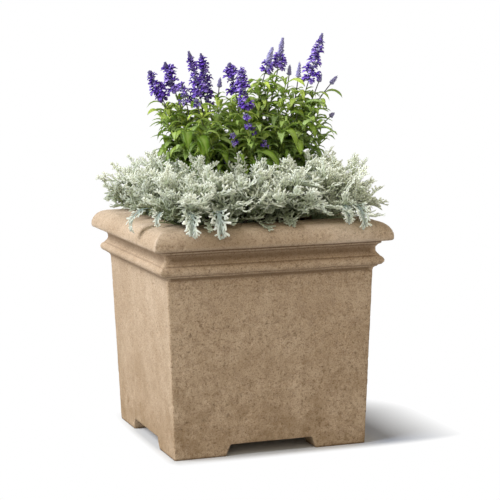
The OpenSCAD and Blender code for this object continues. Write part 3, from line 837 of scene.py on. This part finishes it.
def branch(shape, rng, foot, top, out, side, size, leaves):
    """Adds a branch of a silver plant, with a tuft of leaves round its end."""
    bow = (foot + top) / 2 + np.array([*(out * -0.012), 0.016])
    t = np.linspace(0, 1, 7)[:, None]
    path = (1 - t) ** 2 * foot + 2 * t * (1 - t) * bow + t**2 * top
    thick = np.linspace(0.0055, 0.0028, 7)
    points, faces, _ = rod(path, thick, thick, up=(*side, 0.0))
    shape.add(points, faces, tint=0.2, edge=0.2, shade=0.7)
    start = rng.uniform(*ANY_TURN)
    for k in range(LEAVES_A_TUFT):
        young = (k + 0.5) / LEAVES_A_TUFT
        heading = start + GOLDEN * k
        outward = math.cos(heading - math.atan2(out[1], out[0]))
        length = (0.1 - 0.034 * young) * size * (1 + 0.1 * outward) * rng.uniform(0.82, 1.15)
        rise = math.radians(24 + 54 * young + rng.uniform(-14, 14) - 8 * outward)
        droop = math.radians(rng.uniform(-5, 60) * (1 - 0.5 * young))
        at = path[-1] + (path[-3] - path[-1]) * (1 - young) * 0.9
        leaf = leaves[rng.integers(len(leaves))]
        silver_leaf(shape, rng, leaf, at, length, rise, droop, heading, young)


def dusty_miller(i, leaves, broad, materials):
    """One silver plant: branches that lean out, a skirt of broad leaves, and those over the rim."""
    rng = np.random.default_rng(100 + i)
    shape = Shape()
    spot = EDGE_SPOTS[i]
    reach = np.abs(spot)
    corner = reach[0] == reach[1]
    out = spot / np.linalg.norm(spot) if corner else np.where(reach == reach.max(), np.sign(spot), 0.0)
    side = np.array([-out[1], out[0]])
    gain = CORNER_GAIN if corner else 1.0
    foot = np.array([*spot, SOIL_Z])
    for n, (ahead, aside, height) in enumerate([*TUFTS, *SIDE_TUFTS.get(i, [])]):
        ahead = (ahead + rng.uniform(-0.012, 0.012)) * gain
        aside = aside + rng.uniform(-0.014, 0.014)
        top = foot + np.array([*(out * ahead + side * aside), height + rng.uniform(-0.014, 0.016)])
        branch(shape, rng, foot, top, out, side, SIDE_SIZE if n >= len(TUFTS) else 1.0, leaves)
    for _ in range(SKIRT):
        aside = rng.uniform(-0.075, 0.075)
        ahead = out * rng.uniform(0.03, 0.075) * gain
        at = foot + np.array([*(ahead + side * aside), rng.uniform(0.034, 0.062)])
        heading = math.atan2(out[1], out[0]) + 9 * aside + rng.uniform(-0.5, 0.5)
        rise, droop = math.radians(rng.uniform(2, 30)), math.radians(rng.uniform(5, 50))
        leaf = broad[rng.integers(len(broad))]
        silver_leaf(shape, rng, leaf, at, rng.uniform(0.06, 0.085), rise, droop, heading, 0.3)
    rise, droop = math.radians(8), math.radians(118)
    for _, x, y, heading, length in [row for row in HANGING if row[0] == i]:
        leaf, at = broad[rng.integers(len(broad))], (x, y, HANGING_Z)
        silver_leaf(shape, rng, leaf, at, length, rise, droop, math.radians(heading), 1.0)
    shape.piece(f"silver_leaves_{i + 1}", materials, f"dusty_miller_{i + 1}", "silver_foliage")


# Sage


# Flower spikes of each clump: the tip and the foot, as mm across, back and over the mix, then the
# percentage of the length that is in bud, and how pale its buds are in percent
SPIKES = [
    [
        (-215, 20, 389, -182, 20, 319, 18, 0), (-166, 50, 410, -143, 50, 345, 30, 0),
        (-138, 0, 355, -127, 0, 311, 12, 0), (-119, 0, 437, -91, 0, 327, 26, 0),
    ],
    [
        (-78, 30, 431, -58, 30, 304, 22, 0), (-53, -50, 370, -57, -50, 343, 100, 30),
        (-24, -30, 406, -8, -30, 333, 20, 0), (-10, -80, 386, -2, -80, 300, 8, 0),
        (-134, -104, 321, -130, -104, 304, 60, 0),
    ],
    [
        (174, 0, 404, 169, 0, 362, 100, 100), (224, -30, 476, 187, -30, 359, 26, 30),
        (225, -20, 373, 216, -20, 350, 100, 90), (268, -20, 367, 248, -20, 345, 100, 80),
        (251, -40, 275, 238, -40, 264, 100, 60),
    ],
    [
        (117, 40, 442, 98, 40, 384, 76, 95), (148, 50, 466, 134, 50, 388, 64, 75),
        (170, 60, 396, 167, 60, 366, 100, 100), (60, 110, 375, 58, 110, 346, 100, 60),
    ],
]
# Short sprigs of flowers among the leaves of the front clump, in the same form
SPRIGS = [
    (-14, -126, 278, -8, -126, 252, 8, 0), (4, -124, 246, 5, -124, 236, 20, 0),
    (-48, -122, 232, -44, -122, 212, 8, 20), (34, -120, 212, 34, -120, 204, 20, 0),
    (-62, -120, 174, -62, -120, 166, 20, 0),
]
# Ends of each clump's leafy shoots in mm over the mix, and the box in metres that all shoots end in
SHOOTS = [
    [(-205, -20, 262), (-120, 110, 290), (-66, 60, 300), (-170, 50, 300)],
    [(-100, -104, 256), (22, -112, 246), (-10, -20, 290), (-150, -90, 240)],
    [(190, -100, 250), (100, -104, 256), (130, -20, 358), (230, -20, 262)],
    [(190, 80, 300), (30, 130, 310), (84, 30, 352), (128, 60, 372)],
]
SHOOT_LOW = np.array([-0.188, -0.16, 0.0])
SHOOT_HIGH = np.array([0.212, 0.16, 0.384])
# Height over the mix at which the leaves end, from left to right
CROWN_X = [-0.21, -0.16, 0.02, 0.09, 0.17, 0.26]
CROWN_Z = [0.268, 0.314, 0.314, 0.38, 0.38, 0.258]
# Broad leaves that hang low in front: foot in mm over the mix, heading in degrees, length in mm
LOW_LEAVES = [
    (-160, -108, 238, -104, 98), (-138, -112, 226, -88, 104), (-116, -112, 214, -112, 92),
    (-90, -116, 190, -80, 78), (-6, -136, 186, -52, 104), (8, -132, 170, -70, 84),
    (78, -124, 236, -78, 88), (112, -120, 210, -96, 80),
]
# Width of such a leaf in metres, for each mm of its length
LOW_LEAF_WIDTH = 0.00033
MM = 0.001
# Pairs of leaves on a flowering stem and on a shoot
STEM_PAIRS, SHOOT_PAIRS = 9, 8
# Lengths of a floret and a bud, and distances between whorls of florets and rows of buds
FLORET, BUD = 0.0196, 0.0112
WHORL, BUD_ROW = 0.0092, 0.0052
# A spike with more than this share in bud has no open florets
ALL_BUD = 0.97
# The material slots of the flowers
PETALS, CALYX, STEM = 0, 1, 2


def over_mix(place):
    """A place in mm from the middle of the mix's top, in metres."""
    return np.array([0.0, 0.0, SOIL_Z]) + MM * np.array(place)


def stem_curve(crown, end, ahead):
    """The route of a stem that leaves its crown steeply and reaches its end along ahead."""
    rise = end[2] - crown[2]
    first = crown + np.array([*(0.12 * (end - crown)[:2]), 0.42 * rise])
    second = end - unit(ahead) * 0.3 * rise

    def at(t):
        t = np.asarray(t, dtype=float)[..., None]
        left = 1 - t
        return left**3 * crown + 3 * t * left**2 * first + 3 * t * t * left * second + t**3 * end

    return at


def sage_leaf(shape, rng, kinds, at, turn, young, small):
    """Adds one arching leaf. A small one stands steeper, in the corner of a large one."""
    gain, climb, stray = (0.55, 20, 2) if small else (1.0, 0, 1)
    heading = turn + rng.uniform(-0.4, 0.4) * stray
    length = (0.104 - 0.044 * young**1.6) * rng.uniform(0.74, 1.12) * gain
    width = length * rng.uniform(0.21, 0.3)
    rise = math.radians(54 + climb + 14 * young + rng.uniform(-14, 14))
    droop = math.radians(rng.uniform(95, 178))
    flat, faces, under, vein = kinds[rng.integers(len(kinds))]
    swing, roll = rng.uniform(-0.5, 0.5), rng.uniform(-0.8, 0.8)
    points = bent(flat, at, length, width, rise, droop, heading, swing=swing, roll=roll, power=1.05)
    if buried(points) > MOST_BURIED:
        return
    high = np.clip((at[2] - SOIL_Z - 0.1) / 0.16, 0.35, 1)
    tint = level((0.75 * young + 0.1 * small + rng.uniform(-0.35, 0.4)) * high) ** 1.2
    # A pale grey laid on some leaves, partly their bloom and partly a painted sheen
    bloom = 0.85 * rng.uniform(0, 1) ** (3 if at[0] < 0.05 else 2)
    shape.add(points, faces, tint=tint, under=np.maximum(under, bloom), vein=vein)


def leafy_stem(shape, rng, curve, pairs, leaves, flowering):
    """A stem along its curve, with crossed pairs of leaves and a small one in each corner."""
    large, small = leaves
    path = curve(np.linspace(0.01, 1, 12))
    thick = np.linspace(0.0052, 0.0026, 12)
    points, faces, _ = rod(path, thick, thick, up=(0.0, 1.0, 0.0))
    purple = ramp(points[:, 2] - SOIL_Z, 0.2, 0.1) * flowering
    shape.add(points, faces, stalk=1.0, tint=0.4, purple=purple)
    start = rng.uniform(*ANY_TURN)
    last = 0.9 if flowering else 1.0
    for k in range(pairs):
        young = (k + 0.5) / pairs
        at = curve(0.16 + (last - 0.16) * young**0.85)
        if at[2] > SOIL_Z + np.interp(at[0], CROWN_X, CROWN_Z):
            break
        for way in (0, math.pi):
            turn = start + math.pi / 2 * k + way
            sage_leaf(shape, rng, large, at, turn, young, False)
            sage_leaf(shape, rng, small, at, turn, young, True)


def floret_parts():
    """The calyx, the corolla and the closed bud of a floret, one unit long, that opens along +X. Each
    comes with how near its points are to its outside, and with its slot."""
    girth = [0.12, 0.26, 0.32, 0.24]
    calyx = rod([[0, 0, 0], [0.12, 0, 0.01], [0.28, 0, 0.02], [0.46, 0, 0.03]], girth, girth, tip=0.35)
    path = [[0.34, 0, 0.04], [0.5, 0, 0.07], [0.64, 0, 0.09]]
    tube = rod(path, [0.16, 0.22, 0.3], [0.16, 0.22, 0.26], tip=0.1)
    path = [[0.54, 0, 0.12], [0.68, 0, 0.24], [0.82, 0, 0.28], [0.92, 0, 0.22]]
    hood = rod(path, [0.22, 0.34, 0.36, 0.26], [0.14, 0.19, 0.19, 0.14], tip=0.3)
    path = [[0.58, 0, 0.02], [0.74, 0, -0.06], [0.86, 0, -0.18], [0.92, 0, -0.3]]
    lip = rod(path, [0.22, 0.38, 0.5, 0.42], [0.11, 0.12, 0.11, 0.09], tip=0.25)
    ears = []
    for side in (-1, 1):
        path = [[0.58, 0.05 * side, 0.04], [0.73, 0.19 * side, 0.0], [0.82, 0.3 * side, -0.06]]
        ears.append(rod(path, [0.2, 0.32, 0.28], [0.1, 0.11, 0.09], tip=0.35))
    girth = [0.24, 0.5, 0.58, 0.38]
    bud = rod([[0, 0, 0], [0.3, 0, 0.02], [0.62, 0, 0.05], [0.88, 0, 0.05]], girth, girth, tip=0.3)

    def felted(part):
        points, faces, edge = part
        return points, faces, edge * level(points[:, 0] * 3.5 - 0.8), CALYX

    points, faces, _ = merged([tube, hood, lip, *ears])
    corolla = points, faces, level((points[:, 0] - 0.62) * 2.8), PETALS
    return felted(calyx), corolla, felted(bud)


def flower_spike(shape, rng, foot, tip, parts, budding, pale, gain):
    """Whorls of open florets from the foot, then rows of buds up to a blunt tip. budding is the share of
    the length in bud, pale how light the buds are, and gain the size of the florets."""
    calyx, corolla, bud = parts
    axis = tip - foot
    length = np.linalg.norm(axis)
    axis = axis / length
    first = unit(np.cross(axis, [0.3, 1.0, 0.1]))
    second = np.cross(axis, first)
    core = np.linspace(0.0032, 0.0016, 5)
    path = [foot + axis * length * t for t in np.linspace(0, 0.95, 5)]
    points, faces, _ = rod(path, core, core, up=first)
    shape.add(points, faces, slot=STEM)

    def put(pieces, place, turn, climb, size, tint, light):
        """Adds pieces at a place from 0, the foot, to 1, the tip."""
        radial = math.cos(turn) * first + math.sin(turn) * second
        ahead = math.cos(climb) * radial + math.sin(climb) * axis
        over = math.cos(climb) * axis - math.sin(climb) * radial
        side = np.cross(over, ahead)
        for points, faces, outer, slot in pieces:
            turned = points[:, :1] * ahead + points[:, 1:2] * side + points[:, 2:] * over
            placed = foot + axis * length * place + size * turned
            # Lighter outer ends, on corollas partly a painted highlight
            shape.add(placed, faces, slot=slot, tint=tint, edge=outer * light * rng.uniform(0.15, 1.0))

    low = 0.0 if budding < ALL_BUD else 1.0
    while low < 1 - budding:
        count = rng.integers(7, 10)
        start = rng.uniform(*ANY_TURN)
        swell = rng.uniform(0.78, 1.2)
        for n in range(count):
            turn = start + 2 * math.pi * n / count + rng.uniform(-0.2, 0.2)
            climb = math.radians(6 + 44 * low + rng.uniform(-22, 26))
            size = FLORET * gain * swell * (1.1 - 0.42 * low**1.5) * rng.uniform(0.66, 1.18)
            pieces = [calyx, corolla] if rng.random() < 0.86 else [calyx]
            place = low + rng.uniform(-0.003, 0.003) / length
            put(pieces, place, turn, climb, size, min(1.0, rng.uniform(0, 1) + 0.45 * pale), 1.0)
        low += WHORL * (1.45 - 0.65 * low) * rng.uniform(0.85, 1.2) / length
    rows = max(4, round(length * budding / BUD_ROW))
    plump = 0.82 + 0.28 * pale if budding < ALL_BUD else 0.84
    for k in range(rows):
        v = (k + 0.3) / rows
        count = 6 if v < 0.8 else 5
        place = 1 - budding + max(0.0, budding - 0.006 / length) * v
        for n in range(count):
            turn = 2 * math.pi * (n + 0.5 * (k % 2)) / count + rng.uniform(-0.1, 0.1)
            climb = math.radians(34 + 30 * v**1.5 + rng.uniform(-8, 8))
            size = BUD * plump * (0.94 - 0.4 * v**1.5) * rng.uniform(0.85, 1.12)
            tint = 0.08 + 0.1 * v + 0.62 * pale + rng.uniform(-0.08, 0.12)
            put([bud], place, turn, climb, size, tint, 0.3 + 0.7 * pale)


def sage(i, leaves, parts, green, bloom):
    """One clump of blue sage: its leafy stems as one piece, and its flowers as another."""
    rng = np.random.default_rng(300 + i)
    crown = np.array([*SAGE_SPOTS[i], SOIL_Z])
    leafy, flowers = Shape(), Shape()
    for *ends, budding, pale in [*SPIKES[i], *(SPRIGS if i == FRONT_CLUMP else [])]:
        tip, end = over_mix(ends[:3]), over_mix(ends[3:])
        gain = min(1.0, 0.36 + 11 * np.linalg.norm(tip - end))
        leafy_stem(leafy, rng, stem_curve(crown, end, tip - end), STEM_PAIRS, leaves, 1.0)
        flower_spike(flowers, rng, end, tip, parts, budding / 100, pale / 100, gain)
    rise, droop = math.radians(20), math.radians(112)
    for *foot, heading, size in LOW_LEAVES if i == FRONT_CLUMP else []:
        flat, faces, under, vein = leaves[0][rng.integers(len(leaves[0]))]
        length, width = MM * size, LOW_LEAF_WIDTH * size
        roll = rng.uniform(-0.4, 0.4)
        points = bent(flat, over_mix(foot), length, width, rise, droop, math.radians(heading), roll=roll)
        leafy.add(points, faces, tint=rng.uniform(0.02, 0.25), under=under, vein=vein)
    shoots = [*(MM * np.array(SHOOTS[i]))]
    for shoot in np.repeat(shoots, 2, axis=0):
        shoots.append(rng.uniform(-0.045, 0.045, 3) + shoot * [1, 1, rng.uniform(0.72, 1.0)])
    for shoot in shoots:
        end = np.array([0.0, 0.0, SOIL_Z]) + np.clip(shoot, SHOOT_LOW, SHOOT_HIGH)
        curve = stem_curve(crown, end, (end - crown) * [1.2, 1.2, 0.6])
        leafy_stem(leafy, rng, curve, SHOOT_PAIRS, leaves, 0.0)
    leafy.piece(f"sage_foliage_{i + 1}", [green], f"sage_leaves_{i + 1}", "green_foliage")
    flowers.piece(f"sage_blooms_{i + 1}", bloom, f"sage_flowers_{i + 1}", "blue_flowers")


# Filling


FILLING_VOXEL = 0.005
STONE_SIZE = 0.0165
STONE_KINDS = 6
# Room between the planter's wall and what lies on its floor
WALL_GAP = 0.0013
CLOTH_THICK = 0.0009
CLOTH_CORNER = 0.02
CLOTH_STEPS = 72


def restyled(node, name, seed, depth, size, material):
    """A CAD node's form with an uneven surface."""
    mesh, points, normals = copied(node, FILLING_VOXEL)
    grain = Grain(seed)
    uneven = grain(points, size) + 0.5 * grain(points + 1.0, size / 2.3)
    moved = points + normals * (depth * uneven)[:, None]
    mesh.vertices.foreach_set("co", moved.ravel())
    hold(mesh, "tint", level(0.5 + 0.5 * grain(points, size * 0.6)))
    make_piece(name, mesh, [material], [node])


def gravel_stones():
    """The gravel as rounded stones of several forms and shades, which keep clear of the drain screen."""
    low, high = (np.array(corner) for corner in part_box("drainage_gravel"))
    screen_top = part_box("drain_screen")[1]
    rng = np.random.default_rng(60)
    ball = bmesh.new()
    bmesh.ops.create_icosphere(ball, subdivisions=2, radius=1.0)
    sphere = np.array([v.co for v in ball.verts])
    faces = [[v.index for v in face.verts] for face in ball.faces]
    ball.free()
    kinds = [sphere * (1 + 0.22 * Grain(70 + n)(sphere + 2.0, 1.1))[:, None] for n in range(STONE_KINDS)]
    inner = np.array([WALL_GAP, WALL_GAP, 0.0])
    counts = np.round((high - low) / STONE_SIZE).astype(int)
    shape = Shape()
    for cell in np.ndindex(*counts):
        shift = 0.25 * (-1) ** cell[2] * np.array([1, 1, 0])
        steps = np.array(cell) + 0.5 + shift + rng.uniform(-0.16, 0.16, 3)
        middle = low + (high - low) * steps / counts
        sizes = STONE_SIZE * rng.uniform(0.42, 0.6, 3)
        turn = Quaternion(rng.normal(size=4)).normalized().to_matrix()
        points = middle + (kinds[rng.integers(len(kinds))] * sizes) @ np.array(turn)
        points = np.clip(points, low + inner, high - inner)
        over_screen = np.hypot(points[:, 0], points[:, 1]) < screen_top[0] + 0.001
        points[:, 2] = np.maximum(points[:, 2], np.where(over_screen, screen_top[2] + 0.0004, low[2]))
        shape.add(points, faces, tint=rng.uniform(0, 1))
    return shape.piece("gravel_stones", [pebble_look()], "drainage_gravel", "gravel")


def laid_cloth(under):
    """The filter cloth: a thin square felt with rounded corners and a gently uneven surface."""
    low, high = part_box("filter_cloth")
    half = high[0] - WALL_GAP
    line = np.linspace(-half, half, CLOTH_STEPS + 1)
    x, y = (axis.ravel() for axis in np.meshgrid(line, line))
    past = np.maximum(np.abs(np.stack([x, y])) - (half - CLOTH_CORNER), 0)
    both = (past > 0).all(axis=0)
    pull = np.where(both, past.max(axis=0) / np.maximum(np.hypot(*past), 1e-9), 1.0)
    x, y = (np.sign(axis) * (np.abs(axis) - out + out * pull) for axis, out in zip((x, y), past))
    flat = np.stack([x, y, 0 * x], axis=1)
    rise = (low[2] + high[2]) / 2 + (0.0004 * Grain(62)(flat, 0.02) + 0.0002 * Grain(63)(flat, 0.007))
    skins = [flat + np.stack([0 * x, 0 * x, rise + side * CLOTH_THICK / 2], axis=1) for side in (1, -1)]
    across, count = CLOTH_STEPS + 1, len(flat)
    faces = []
    for i, j in np.ndindex(CLOTH_STEPS, CLOTH_STEPS):
        a = i * across + j
        quad = [a, a + 1, a + across + 1, a + across]
        faces.append(quad)
        faces.append([count + corner for corner in quad[::-1]])
    grid = np.arange(count).reshape(across, across)
    ring = np.concatenate([grid[0, :-1], grid[:-1, -1], grid[-1, :0:-1], grid[:0:-1, 0]]).tolist()
    for a, b in zip(ring, ring[1:] + ring[:1]):
        faces.append([b, a, a + count, b + count])
    shape = Shape()
    shape.add(np.concatenate(skins), faces)
    cloth = shape.piece("felt_sheet", [cloth_look()], "filter_cloth", "filter_cloth")


make_camera()
make_light()
make_floor()
stone_planter()
soil, roots = soil_look(), root_look()
restyled("potting_mix", "soil", 21, 0.002, 0.012, soil)
for ball, kind, spots, seed in (("dusty", "silver", EDGE_SPOTS, 30), ("sage", "sage", SAGE_SPOTS, 50)):
    for i in range(len(spots)):
        node, name = f"{ball}_root_ball_{i + 1}", f"{kind}_roots_{i + 1}"
        restyled(node, name, seed + i, 0.001, 0.01, roots)
laid_cloth(gravel_stones())
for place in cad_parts["drain_screen"].material_slots:
    place.material = plastic_look()

silver = silver_look()
lobed = [
    lobed_leaf(1, 5, 0.31, 0.053, 0.9),
    lobed_leaf(2, 4, 0.33, 0.06, 0.9),
    lobed_leaf(3, 5, 0.34, 0.055, 0.8),
    lobed_leaf(4, 5, 0.3, 0.052, 1.1),
    lobed_leaf(5, 4, 0.33, 0.058, 1.0, (1,)),
]
broad = [lobed_leaf(6, 6, 0.31, 0.056, 1.4), lobed_leaf(7, 5, 0.33, 0.06, 1.3)]
for i in range(len(EDGE_SPOTS)):
    dusty_miller(i, lobed, broad, [silver])

green = green_look()
bloom = [petal_look(), calyx_look(), stem_look()]
lances = [lance_leaf(s, 9, 5) for s in range(5)], [lance_leaf(s, 6, 3) for s in range(5, 8)]
florets = floret_parts()
for i in range(len(SAGE_SPOTS)):
    sage(i, lances, florets, green, bloom)
